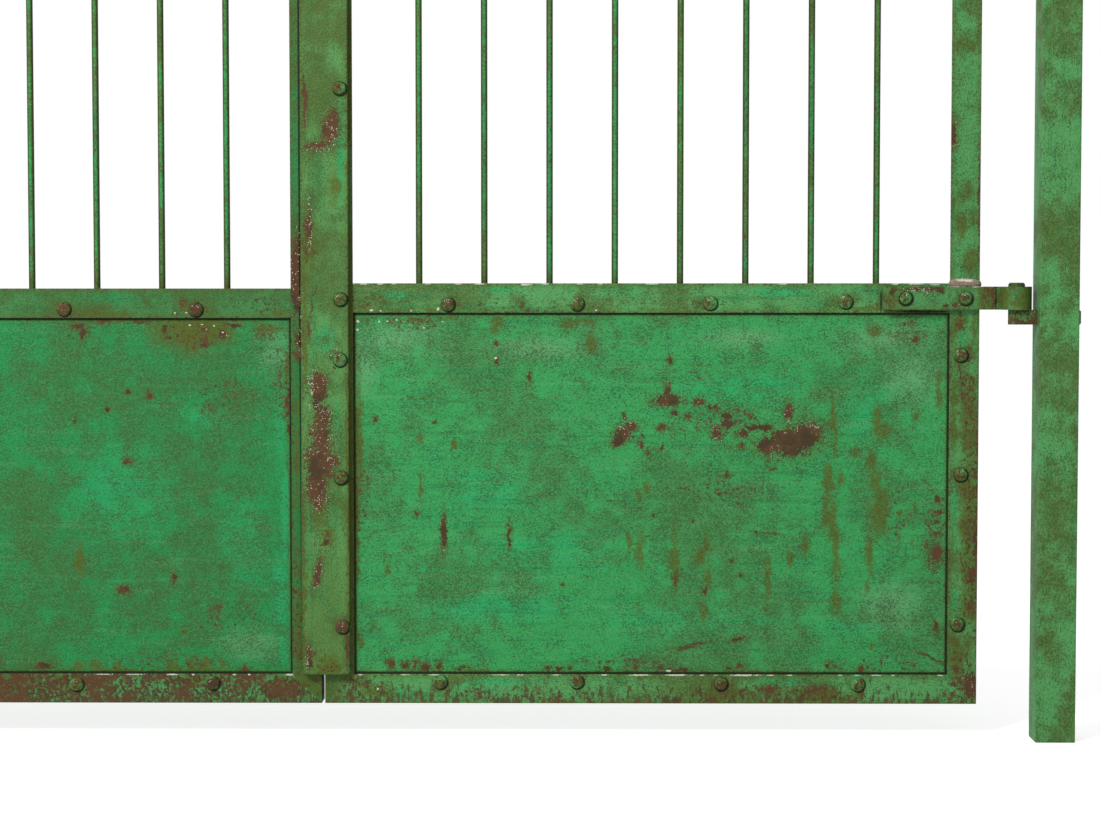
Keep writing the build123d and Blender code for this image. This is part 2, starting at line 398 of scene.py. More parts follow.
LEFT_PANEL_MARKS = {
    "flaking": [(150, 566, 12, 14), (176, 574, 10, 8), (238, 576, 10, 12)],
    "rust": [
        (226, 193, 8, 21), (303, 174, 24, 12), (233, 561, 9, 9), (177, 551, 18, 10), (135, 581, 31, 7),
        (371, 580, 24, 12), (365, 567, 12, 18), (330, 586, 21, 5), (276, 586, 31, 5), (295, 479, 12, 9),
        (326, 451, 8, 12), (262, 474, 12, 12), (50, 467, 6, 37), (48, 421, 6, 18), (298, 371, 15, 9),
        (377, 436, 6, 12), (52, 444, 7, 15), (430, 56, 30, 12), (520, 58, 24, 12), (640, 55, 34, 12),
        (760, 330, 14, 40), (560, 575, 60, 14), (700, 580, 90, 10), (48, 91, 2, 15), (120, 53, 12, 9),
    ],
    "drip": [
        (190, 570, 124, 60), (238, 576, 34, 21), (146, 576, 44, 26), (372, 220, 15, 46), (376, 56, 26, 20),
        (349, 56, 24, 20), (315, 55, 14, 20), (227, 55, 22, 20), (180, 62, 18, 24), (203, 58, 20, 16),
        (154, 60, 14, 16), (211, 110, 10, 8), (80, 576, 50, 14), (600, 570, 120, 30),
    ],
    "scatter": [
        (190, 566, 150, 60), (60, 500, 60, 190), (250, 62, 280, 40), (370, 570, 60, 50),
        (150, 470, 120, 90), (80, 570, 90, 40), (140, 130, 160, 60), (600, 70, 300, 50),
    ],
    "stain_and_shade": [
        (190, 578, 124, 44), (192, 588, 190, 10), (330, 590, 90, 8), (50, 480, 8, 160), (230, 48, 340, 6),
    ],
    "chalk_and_highlight": [(70, 540, 60, 90), (110, 90, 120, 60)],
    "tint": [(192, 574, 150, 70)],
    "fresh": [(62, 172, 20, 96), (56, 290, 12, 190), (60, 80, 12, 50)],
    "bright": [
        (66, 170, 26, 130), (62, 420, 20, 160), (300, 330, 180, 160), (180, 440, 90, 30, -20),
        (120, 250, 90, 160),
    ],
    "edge": [(200, 581, 4, 3), (181, 582, 4, 3), (163, 580, 4, 4), (150, 570, 4, 3)],
}

COVER_MARKS = {
    "flaking": [
        (-6, 486, 22, 50), (-11, 461, 12, 24), (0, 444, 22, 30), (-3, 412, 26, 56), (-6, 371, 42, 58),
        (13, 373, 20, 18), (-10, 334, 30, 60), (-8, 311, 16, 22), (-9, 204, 11, 46, -12),
        (14, 882, 25, 52, -8), (-6, 853, 34, 10, 12), (-23, 74, 9, 40),
    ],
    "rust": [
        (-21, 733, 12, 60), (3, 249, 12, 12), (-11, 633, 3, 21, -20), (-17, 607, 3, 34, -8),
        (-21, 574, 4, 31), (18, 534, 16, 8), (-26, 920, 6, 90), (36, 90, 6, 80),
    ],
    "drip": [
        (-8, 300, 24, 60), (10, 60, 50, 50), (-20, 700, 14, 90), (26, 530, 34, 30), (8, 255, 20, 30),
        (20, 790, 22, 60), (-28, 600, 8, 240),
    ],
    "scatter": [
        (5, 60, 80, 90), (-5, 400, 60, 300), (-20, 710, 34, 120), (20, 529, 50, 50), (-12, 850, 44, 40),
        (0, 250, 50, 70),
    ],
    "stain_and_shade": [(37, 345, 5, 580), (-31, 200, 7, 330)],
    "tint": [(4, 90, 100, 400), (-22, 690, 30, 180)],
    "bright": [(4, 560, 30, 50), (14, 440, 26, 60), (28, 850, 14, 200)],
    "chip_and_glint": [
        (-2, 243, 6, 14), (-18, 492, 12, 40), (-10, 510, 14, 10), (-13, 460, 24, 14), (2, 447, 18, 22),
        (10, 379, 6, 6), (-12, 183, 7, 10), (-4, 848, 34, 10), (-19, 735, 10, 90), (13, 537, 12, 14),
        (22, 544, 16, 4), (-27, 69, 6, 44), (18, 868, 8, 40),
    ],
}

# On the straps, up is from the middle of the strap
STRAP_MARKS = {
    "flaking": [(905, 15, 40, 5), (962, -9, 10, 8)],
    "rust": [
        (947, -13, 9, 6), (938, 11, 12, 7), (923, 15, 46, 5), (1019, 0, 4, 40), (866, 10, 10, 8),
        (1074, 0, 5, 60),
    ],
    "drip": [
        (1008, 0, 32, 60), (1063, 0, 16, 50), (1050, -9, 50, 14), (1028, -4, 12, 40), (866, 0, 18, 60),
    ],
    # The stain rows at 1016, 1032 and 1069 paint shade beside the slit and on the eye's rims.
    "stain_and_shade": [(1016, 0, 14, 60), (1069, 0, 9, 60), (880, 13, 40, 8), (1032, 0, 10, 60)],
    "scatter": [(870, 4, 50, 50), (1012, 0, 40, 60), (930, 12, 90, 16)],
    # These rows paint a highlight down the middle of the eye.
    "chalk_and_highlight": [(1045, 0, 9, 50), (1045, 0, 5, 60)],
    # This row paints shadow in the slit where the eye closes.
    "gap_shadow": [(1023, 0, 3, 80)],
    # Along the top edge, these flecks paint a highlight as well as chips.
    "chip_and_glint": [(1051, 16, 10, 5), (905, 13, 50, 8)],
    "edge": [(962, 18, 40, 3), (993, 18, 21, 4), (903, 18, 30, 2)],
}

FRAME_MARKS = {
    "right_hinge_stile": {
        "flaking": [(957, 871, 12, 46), (992, 25, 24, 46)],
        "rust": [
            (998, 771, 3, 229), (999, 314, 3, 458), (987, 63, 3, 18), (997, 253, 7, 92), (971, 510, 4, 40),
            (993, 199, 10, 40),
        ],
        "drip": [
            (962, 440, 12, 120), (987, 290, 34, 520), (985, 440, 40, 60), (972, 60, 30, 60),
            (971, 729, 18, 37), (985, 683, 18, 34), (975, 589, 24, 21), (992, 580, 9, 46),
            (992, 180, 14, 90),
        ],
        "scatter": [(988, 260, 36, 480), (980, 40, 56, 120), (985, 480, 34, 160), (972, 590, 40, 40)],
        "bright": [
            (976, 566, 16, 22), (976, 566, 12, 16), (974, 551, 10, 14), (963, 314, 10, 76),
            (966, 161, 18, 37),
        ],
        "edge": [(976, 640, 22, 3)],
    },
    # The stain rows paint the cover strip's shadow on this stile, with dirt.
    "right_meeting_stile": {"stain_and_shade": [(43, 345, 10, 700), (43, 450, 6, 200)]},
    "right_mid_rail": {
        "rust": [(905, 606, 50, 8), (862, 616, 20, 18)],
        "drip": [(830, 606, 90, 10), (862, 612, 30, 40), (796, 617, 50, 16), (160, 606, 40, 8)],
        "scatter": [(60, 618, 90, 40), (300, 610, 300, 24), (860, 612, 60, 40), (590, 612, 120, 24)],
        # These rows paint shadow under the strap and beside its left end.
        "gap_shadow": [(915, 602, 112, 5), (850, 616, 3, 46)],
        "bright": [(270, 636, 60, 16), (110, 625, 60, 20), (450, 630, 90, 16), (700, 632, 110, 14)],
        # The top-edge flecks paint a highlight; the low ones near 600 are chips.
        "edge": [
            (44, 644, 12, 2), (62, 644, 15, 2), (87, 644, 15, 2), (107, 644, 9, 2), (160, 644, 14, 2),
            (206, 644, 12, 2), (239, 644, 24, 2), (309, 643, 21, 3), (338, 644, 15, 2), (392, 644, 15, 2),
            (422, 644, 12, 2), (500, 644, 30, 2), (700, 644, 20, 2), (871, 644, 18, 3), (901, 644, 31, 3),
            (932, 643, 21, 3), (73, 604, 6, 4), (87, 603, 5, 3), (134, 603, 5, 3), (175, 606, 5, 6),
            (416, 604, 5, 3),
        ],
    },
    "right_bottom_rail": {
        "rust": [(990, 20, 20, 30)],
        "scatter": [(60, 22, 110, 60), (980, 22, 70, 60), (720, 16, 260, 40), (300, 14, 300, 30)],
        "drip": [(190, 36, 40, 20), (70, 20, 60, 30), (610, 14, 90, 24), (760, 14, 120, 20)],
        "bright": [(250, 30, 120, 20), (110, 20, 30, 16), (700, 34, 110, 16)],
        # The top-edge flecks paint a highlight; the low one is a chip.
        "edge": [
            (54, 44, 8, 2), (123, 44, 18, 2), (169, 44, 21, 2), (269, 44, 40, 2), (300, 44, 15, 2),
            (355, 44, 18, 2), (429, 44, 18, 2), (484, 44, 46, 3), (538, 44, 55, 3), (579, 44, 9, 2),
            (601, 44, 8, 2), (645, 44, 50, 4), (684, 44, 18, 2), (714, 44, 15, 2), (791, 44, 9, 2),
            (817, 44, 15, 2), (846, 44, 21, 2), (872, 44, 8, 2), (944, 44, 12, 2), (81, 22, 4, 4),
        ],
    },
    "left_bottom_rail": {
        "drip": [(60, 24, 60, 50), (380, 30, 60, 30), (600, 20, 300, 40), (200, 36, 60, 20)],
        "scatter": [(350, 22, 900, 90), (60, 24, 120, 60), (380, 24, 120, 50)],
        # The top-edge flecks paint a highlight.
        "edge": [
            (337, 44, 37, 2), (288, 44, 34, 2), (231, 44, 21, 3), (198, 44, 5, 3), (135, 44, 6, 3),
            (112, 44, 6, 3), (49, 44, 21, 4),
        ],
    },
    "left_mid_rail": {
        "drip": [(330, 598, 100, 8), (190, 605, 50, 24), (60, 600, 40, 10)],
        "scatter": [(90, 612, 110, 40), (200, 606, 90, 40)],
        "bright": [(300, 622, 160, 20)],
        "edge": [(222, 600, 4, 3), (205, 600, 4, 3)],
    },
    "left_meeting_stile": {
        "flaking": [(36, 668, 20, 96), (36, 640, 18, 80), (34, 560, 12, 22)],
        "drip": [(36, 400, 8, 200), (36, 120, 14, 160), (22, 24, 70, 70)],
        "scatter": [(36, 130, 30, 260), (36, 560, 30, 120), (22, 20, 60, 70)],
        "bright": [(38, 850, 26, 280), (38, 760, 22, 120), (38, 560, 16, 40)],
        # This long row paints shade beside the cover strip's edge.
        "gap_shadow": [(31, 950, 4, 1990)],
    },
}

# Rivets, in millimetres on a leaf: the across and up of each head

FRAME_RIVETS = {
    "right": [(190, 613), (387, 614), (590, 615), (796, 617), (177, 33), (387, 34), (608, 31), (818, 30)]
    + [(972, 536), (973, 353), (970, 123)],
    "left": [(190, 605), (392, 606), (596, 606), (800, 607), (168, 31), (378, 29), (590, 31), (805, 30)]
    + [(972, 532), (972, 350), (971, 122)],
}
COVER_RIVETS = [(28, 120), (27, 349), (26, 529), (27, 621), (27, 940), (27, 1260), (27, 1580), (27, 1868)]
SEAM_RIVETS = [(18, 120), (18, 349), (26, 539), (27, 618)]
STRAP_RIVETS_ACROSS = [886, 977]
RIVET_REACH = 0.02
RUSTY_HEADS = {
    "right": [(28, 120)],
    "left": [(190, 605), (168, 31), (27, 618), (26, 539)],
}


def strap_middle(side, level):
    low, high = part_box(f"{side}_{level}_strap")
    return ((low.z + high.z) / 2 - LEAVES[side].bottom) / MM


def rivet_collars(leaf, node):
    """The rivets that go through that member's front, or so near it that they mark its edge."""
    low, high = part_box(node)
    reach = RIVET_REACH
    rows = []
    for across, up in FRAME_RIVETS[leaf.side]:
        centre = spot(leaf, across, up)
        if low.x - reach < centre.x < high.x + reach and low.z - reach < centre.z < high.z + reach:
            rows.append((across, up))
    return rows


# Paint
# A look has two greens, the way its grain runs, and shares of bright strokes, rust specks and grime;
# then, where it has them, of rust combed down from the top, of dark joint lines that are partly dirt and
# partly painted shadow, and of age

Look = namedtuple("Look", "green dull grain bright rust grime comb joint age", defaults=(0.0, 0.0, 0.0))


def frame_look(grain, bright, rust, grime, **more):
    return Look("frame_green", "frame_dull", grain, bright, rust, grime, **more)


PANEL_LOOKS = {
    # The joint share is a dark line round the sheet, partly dirt and partly painted shadow under the rail
    # above.
    "right": Look("sheet_green", "sheet_dull", "x", 0.55, 0.26, 0.16, joint=0.90),
    "left": Look("deep_green", "deep_dull", "x", 0.45, 0.26, 0.20, joint=0.90, age=0.18),
}
FRAME_LOOKS = {
    "right_mid_rail": frame_look("x", 0.50, 0.26, 0.35),
    "right_bottom_rail": frame_look("x", 0.40, 0.32, 0.45, comb=0.9),
    "right_top_rail": frame_look("x", 0.20, 0.30, 0.40),
    "right_hinge_stile": frame_look("z", 0.25, 0.34, 1.00, age=0.10),
    # Darker colours paint the cover strip's shadow over this stile, with dirt.
    "right_meeting_stile": Look("frame_dull", "olive_wash_and_shade", "z", 0.10, 0.30, 0.50, age=0.10),
    "left_mid_rail": frame_look("x", 0.20, 0.32, 0.50, age=0.58),
    "left_bottom_rail": frame_look("x", 0.30, 0.47, 0.60, comb=1.0, age=0.16),
    "left_top_rail": frame_look("x", 0.20, 0.30, 0.40),
    "left_hinge_stile": frame_look("z", 0.20, 0.30, 0.40),
    "left_meeting_stile": Look("deep_green", "frame_dull", "z", 0.25, 0.30, 0.50, age=0.50),
}
COVER_LOOK = Look("cover_green", "frame_dull", "z", 0.35, 0.28, 0.60, age=0.12)
STRAP_LOOK = frame_look("x", 0.50, 0.32, 0.80, age=0.26)
BAR_LOOK = Look("sheet_green", "frame_dull", "z", 0.6, 0.40, 0.50)
POST_LOOK = frame_look("z", 0.2, 0.30, 0.45)
PINTLE_LOOK = Look("frame_dull", "olive_wash_and_shade", "z", 0.0, 0.70, 0.80, age=0.2)
RIVET_LOOK = frame_look("x", 0.2, 0.42, 0.80, age=0.15)
WELD_LOOK = Look("bead_grey", "light_rust", "x", 0.0, 0.20, 0.25)

# How many times a metre the patterns repeat: clouds, mottling, what rust has eaten, grit, ragged outlines
# and dots for pits and chips
CLOUDS = 5
MOTTLING = 30
EATEN = 190
GRIT = 520
RAGGED = 80
DOTS = 560
# The same along X, Y and Z for brush strokes by their grain, and for teeth of rust on a rail
STROKES = {"x": (320, 420, 580), "z": (580, 420, 320)}
SWEEPS = {"x": (6, 60, 110), "z": (110, 60, 6)}
TEETH = (130, 40, 50)

RAGGED_REACH = 0.016
RELIEF = 0.0012
GLOSS = 0.12
# How deep behind the front face marks still count, and how near they are where there are none
FRONT_DEPTH = 0.006
FAR = -9.0
# The stain round a rivet, in millimetres, and the share of the way in where its dark ring starts, which paints
# the head's shadow;
# then how far, in millimetres, stain and ring move down and towards the hinges, so that the painted shadow
# falls below and to one side
COLLAR = 34
SHADOW_RING = 0.33
SHADOW_SHIFT = 1.2
BAR_FOOT = 0.030


def iron_paint(name, look, leaf=RIGHT, marks=None, front=None, edges=None, collars=(), rounded=None):
    """Old brushed paint on iron: strokes, chalking, grime, rust with its placed marks, and chips,
    together with painted shade, painted shadow and painted highlights where the marks and the look ask for
    them.
    front is the y of the face that carries the marks, and edges the lowest and highest corner
    of the face whose borders collect dirt and, with a joint shade in the look, a dark line that is partly
    painted shadow.
    collars are the places of rivets, which stain the paint round them and get a painted shadow ring below
    them, and rounded is the axis and radius of a round bar, whose sides get painted shade and whose foot stays
    dirty."""
    brush = Brush(name)
    add, times, less, most, fade = brush.add, brush.times, brush.less, brush.most, brush.fade
    colours = bpy.context.scene.gate_paint
    marks = marks or {}
    place = brush.place

    def combed(pattern, detail, roughness):
        """Noise drawn out along the grain."""
        return brush.noise(brush.vector("MULTIPLY", place, pattern), 1, detail, roughness)

    broad = brush.noise(place, CLOUDS, 2)
    mottle = brush.noise(place, MOTTLING, 4, 0.6)
    strokes = combed(STROKES[look.grain], 2, 0.6)
    sweeps = combed(SWEEPS[look.grain], 2, 0.6)
    grit = brush.noise(place, GRIT, 1, 0.75)
    eaten = brush.noise(place, EATEN, 4, 0.75)
    wobble = brush.vector("SUBTRACT", brush.noise(place, RAGGED, 3, 0.65, "Color"), (0.5, 0.5, 0.5))
    ragged = brush.vector("ADD", place, brush.vector("SCALE", wobble, RAGGED_REACH))
    on_front = 0.0
    if front is not None:
        on_front = brush.sum("LESS_THAN", brush.parts(place)["Y"], front + FRONT_DEPTH)
    behind = times(less(1.0, on_front), -FAR)

    def painted(kind, where=ragged):
        """How near the marks of that kind are, and well away from them behind the front face."""
        if not marks.get(kind):
            return FAR
        return less(brush.marks(where, leaf, marks[kind]), behind)

    def share(noise, part):
        """A noise that swings about 0, times that part."""
        return times(less(noise, 0.5), part)

    def inside(where):
        """How far a place is inside the borders of the face."""
        low, high = edges
        x, y, z = brush.parts(where)[:3]
        across = brush.least(less(x, low.x), less(high.x, x))
        upright = brush.least(less(z, low.z), less(high.z, z))
        return add(brush.least(across, upright), behind)

    def lay(paint, amount):
        """Covers what is there with that colour."""
        nonlocal base
        base = brush.mix(amount, base, getattr(colours, paint))

    border = None if edges is None else inside(ragged)

    # Sound paint
    tone = add(broad, share(mottle, 0.8))
    base = brush.mix(fade(tone, 0.40, 0.60), getattr(colours, look.green), getattr(colours, look.dull))
    bright = fade(add(mottle, share(sweeps, 0.8)), 0.54, 0.68, look.bright)
    if marks.get("bright"):
        near = fade(painted("bright"), -0.3, 0.6, 0.8)
        bright = most(bright, times(near, fade(sweeps, 0.4, 0.6, low=0.4)))
    lay("bright_green", bright)
    lay("shade_green", fade(sweeps, 0.54, 0.74, 0.35))
    lay("pale_green_and_highlight", fade(sweeps, 0.44, 0.26, 0.20))
    lay("pale_green_and_highlight", fade(grit, 0.44, 0.24, 0.40))
    if marks.get("chalk_and_highlight"):
        lay("pale_green_and_highlight", fade(add(painted("chalk_and_highlight"), share(sweeps, 1.5)), -0.3, 1.0, 0.55))
    if marks.get("fresh"):
        lay("bright_green", fade(add(painted("fresh"), share(sweeps, 1.0)), -0.1, 0.3, 0.85))
    dark = add(share(mottle, 0.35), share(broad, 0.25), strokes)
    lay("shade_green", fade(dark, 0.49, 0.62, 0.70))
    lay("shade_green", look.age)

    # Marks that rust has left, and how near they are
    spread = add(share(eaten, 2.4), share(grit, 1.2))
    flaking = add(painted("flaking"), spread)
    solid = add(painted("rust"), spread)
    near_rust = fade(most(flaking, solid), -1.4, 0.2)

    # Dirt and rust wash, painted shade on the sides of round bars, and joints black with old dirt and painted
    # shadow
    soft = add(share(eaten, 1.2), share(mottle, 2.4))
    washes_and_shade = [
        fade(add(mottle, share(broad, 0.8)), 0.50, 0.72, look.grime),
        fade(add(painted("drip"), soft), -0.5, 0.6, 0.85),
        fade(add(painted("stain_and_shade"), soft), -0.5, 0.5, 0.9),
        times(near_rust, 0.45),
    ]
    dark_lines_and_shade = []
    if collars:
        rings = [(across + leaf.away * SHADOW_SHIFT, up - SHADOW_SHIFT, COLLAR, COLLAR) for across, up in collars]
        collar = brush.marks(place, leaf, rings)
        washes_and_shade.append(fade(add(collar, soft), -0.3, 0.5, 0.65))
        # A dark ring, moved down and aside, paints the shadow of each head on the iron.
        dark_lines_and_shade.append(times(fade(collar, SHADOW_RING - 0.05, SHADOW_RING, 0.9), on_front))
    if edges is not None:
        washes_and_shade.append(fade(border, 0.011, 0.001, 0.40))
    # Painted shade darkens the sides of a round bar; dirt darkens its foot.
    if rounded is not None:
        axis, radius = rounded
        off = brush.sum("ABSOLUTE", less(brush.parts(place)["Y"], axis))
        off = add(off, share(eaten, radius * 0.5))
        shaded_sides = fade(off, radius * 0.95, radius * 0.62)
        washes_and_shade.append(shaded_sides)
        washes_and_shade.append(fade(brush.parts(ragged)["Z"], RAIL_TOP + BAR_FOOT, RAIL_TOP, 0.8))
        dark_lines_and_shade.append(times(shaded_sides, 0.62))
    lay("olive_wash_and_shade", times(most(*washes_and_shade), fade(grit, 0.30, 0.52, low=0.5)))
    if marks.get("tint"):
        lay("olive_wash_and_shade", fade(painted("tint"), -0.1, 0.7, 0.36))

    # Pepper of small rust pits
    pepper = add(grit, share(mottle, 0.35), times(near_rust, 0.10))
    lay("pepper", fade(pepper, 0.57, 0.68, 0.85))

    # Rust
    scattered = fade(painted("scatter"), -0.2, 0.6, 0.14)
    specks = add(eaten, scattered, times(mottle, look.rust))
    rusts = [
        fade(flaking, -0.12, 0.10),
        fade(solid, 0.0, 0.3),
        fade(specks, 0.80, 0.88),
    ]
    if look.comb:
        teeth = combed(TEETH, 3, 0.65)
        below_top = less(edges[1].z, brush.parts(place)["Z"])
        teeth = add(teeth, times(below_top, look.comb * 4))
        rusts.append(fade(teeth, 0.60, 0.70, 0.85))
    if edges is not None:
        rim = add(fade(border, 0.007, 0.0, 0.16), eaten)
        rusts.append(fade(rim, 0.66, 0.74, 0.8))
    rusted = most(*rusts)
    rust = brush.mix(fade(mottle, 0.38, 0.60), colours.deep_rust, colours.rust)
    rust = brush.mix(fade(grit, 0.50, 0.72, 0.45), rust, colours.light_rust)
    base = brush.mix(times(rusted, 0.92), base, rust)

    # A dark line round the sheet: dirt in the joints, and painted shadow under the rail above.
    if look.joint:
        dark_lines_and_shade.append(fade(inside(place), 0.0046, 0.0022, look.joint))
    # Gap rows paint shadow in narrow places: under the straps, in the eye's slit and beside the cover strip.
    if marks.get("gap_shadow"):
        dark_lines_and_shade.append(fade(painted("gap_shadow", place), 0.0, 0.5, 0.9))
    if dark_lines_and_shade:
        lay("joint_dirt_and_shade", most(*dark_lines_and_shade))

    # Pits, and chips that show pale primer, with pale flecks that paint highlights along lit edges and on
    # rivet heads
    cells = brush.cells(place, DOTS)
    kind = brush.parts(cells["Color"])
    dots = fade(cells["Distance"], 0.50, 0.35)

    def some(part, above):
        """The dots for which that part of their colour is above a limit."""
        return times(dots, brush.sum("GREATER_THAN", kind[part], above))

    lay("deep_rust", times(some("Y", 0.93), 0.75))
    zone = times(fade(flaking, -0.6, -0.2), fade(flaking, 1.2, 0.7))
    chips_and_glints = times(some("X", 0.91), times(zone, fade(mottle, 0.49, 0.55)))
    if marks.get("chip_and_glint"):
        chips_and_glints = most(chips_and_glints, times(some("Z", 0.80), fade(painted("chip_and_glint"), -0.1, 0.2)))
    # Edge rows are painted highlight along lit top edges, partly chips.
    if marks.get("edge"):
        run = add(share(eaten, 1.8), share(grit, 1.8), painted("edge", place))
        chips_and_glints = most(chips_and_glints, fade(run, 0.2, 0.45))
    lay("primer_and_glint", times(chips_and_glints, 0.9))

    roughness = add(fade(strokes, 0.3, 0.7, 0.66, low=0.50), times(rusted, 0.25))
    height = add(times(strokes, 0.5), times(grit, 0.6), times(sweeps, 0.4))
    return brush.finish(base, roughness, height)


def coat(node, material):
    """Gives a node of the frame that finish in every slot."""
    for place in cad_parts[node].material_slots:
        place.material = material


def visible_sheet(side):
    """The part of a panel that shows between the legs of its leaf's frame."""
    stiles = sorted((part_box(f"{side}_meeting_stile"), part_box(f"{side}_hinge_stile")), key=lambda b: b[0].x)
    low = Vector((stiles[0][1].x, PANEL_FRONT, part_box(f"{side}_bottom_rail")[0].z + LEG))
    high = Vector((stiles[1][0].x, PANEL_BACK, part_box(f"{side}_mid_rail")[1].z - LEG))
    return low, high


class GATE_OT_paint_panels(bpy.types.Operator):
    """Paint the two sheet panels"""

    bl_idname = "gate.paint_panels"
    bl_label = "Paint panels"

    def execute(self, context):
        # The marks go half way into the sheet
        front = PANEL_FRONT - FRONT_DEPTH + (PANEL_BACK - PANEL_FRONT) / 2
        for side, rows in (("right", RIGHT_PANEL_MARKS), ("left", LEFT_PANEL_MARKS)):
            name = f"{side} panel paint"
            paint = iron_paint(name, PANEL_LOOKS[side], LEAVES[side], rows, front, visible_sheet(side))
            coat(f"{side}_panel", paint)
        return {"FINISHED"}


class GATE_OT_paint_frames(bpy.types.Operator):
    """Paint the angle iron of both leaves"""

    bl_idname = "gate.paint_frames"
    bl_label = "Paint frames"

    def execute(self, context):
        for node, look in FRAME_LOOKS.items():
            leaf = LEAVES[node.split("_")[0]]
            name = node.replace("_", " ") + " paint"
            marks = FRAME_MARKS.get(node)
            collars = rivet_collars(leaf, node)
            coat(node, iron_paint(name, look, leaf, marks, leaf.front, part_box(node), collars))
        return {"FINISHED"}


class GATE_OT_paint_cover(bpy.types.Operator):
    """Paint the cover strip and its packing flat"""

    bl_idname = "gate.paint_cover"
    bl_label = "Paint cover strip"

    def execute(self, context):
        name = "cover strip paint"
        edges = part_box("cover_strip")
        paint = iron_paint(name, COVER_LOOK, RIGHT, COVER_MARKS, COVER_FRONT, edges, COVER_RIVETS)
        coat("cover_strip", paint)
        coat("cover_packing", paint)
        return {"FINISHED"}


class GATE_OT_paint_bars(bpy.types.Operator):
    """Paint the round bars"""

    bl_idname = "gate.paint_bars"
    bl_label = "Paint bars"

    def execute(self, context):
        low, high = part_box("right_bar_1")
        paint = iron_paint("bar paint", BAR_LOOK, rounded=((low.y + high.y) / 2, (high.x - low.x) / 2))
        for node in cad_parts:
            if "_bar_" in node:
                coat(node, paint)
        return {"FINISHED"}


class GATE_OT_paint_hinges(bpy.types.Operator):
    """Paint the straps and the pintles"""

    bl_idname = "gate.paint_hinges"
    bl_label = "Paint hinges"

    def execute(self, context):
        pintle_paint = iron_paint("pintle paint", PINTLE_LOOK)
        for side, level in ((s, v) for s in LEAVES for v in LEVELS):
            up = strap_middle(side, level)
            collars = [(across, up) for across in STRAP_RIVETS_ACROSS]
            marks = {}
            for kind, rows in STRAP_MARKS.items():
                marks[kind] = [(row[0], row[1] + up, *row[2:]) for row in rows]
            name = f"{side} {level} strap paint"
            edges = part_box(f"{side}_{level}_strap")
            paint = iron_paint(name, STRAP_LOOK, LEAVES[side], marks, STRAP_FRONT, edges, collars)
            coat(f"{side}_{level}_strap", paint)
            coat(f"{side}_{level}_pintle", pintle_paint)
        return {"FINISHED"}


class GATE_OT_paint_posts(bpy.types.Operator):
    """Paint the two posts"""

    bl_idname = "gate.paint_posts"
    bl_label = "Paint posts"

    def execute(self, context):
        paint = iron_paint("post paint", POST_LOOK)
        for side in LEAVES:
            coat(f"{side}_post", paint)
        return {"FINISHED"}


# Rivets

HEAD_SEGMENTS = 22
HEAD_RINGS = 12
# The power that makes a button of half a ball, and how deep its rim is sunk
DOME = 0.55
SUNK = 0.12
# The least and the most that a head's radius is of its nominal diameter
RADIUS_SHARES = (0.46, 0.52)
# Hammer marks to a metre, and how far noise shifts the surface for each unit of unevenness
HAMMER_MARKS = 170
SHIFT = 4.0
BACK_HEIGHT = 0.8
SEAM_SHARE = 0.95
STRAP_SHARE = 0.92
# Marks on a head, in millimetres: what covers it whole, what stays on its crown, and pale flecks above its
# middle that paint a highlight
COVERED = 26
CROWN = 17
HIGHLIGHT_RISE = 5
HIGHLIGHT_FLECKS = (12, 6)


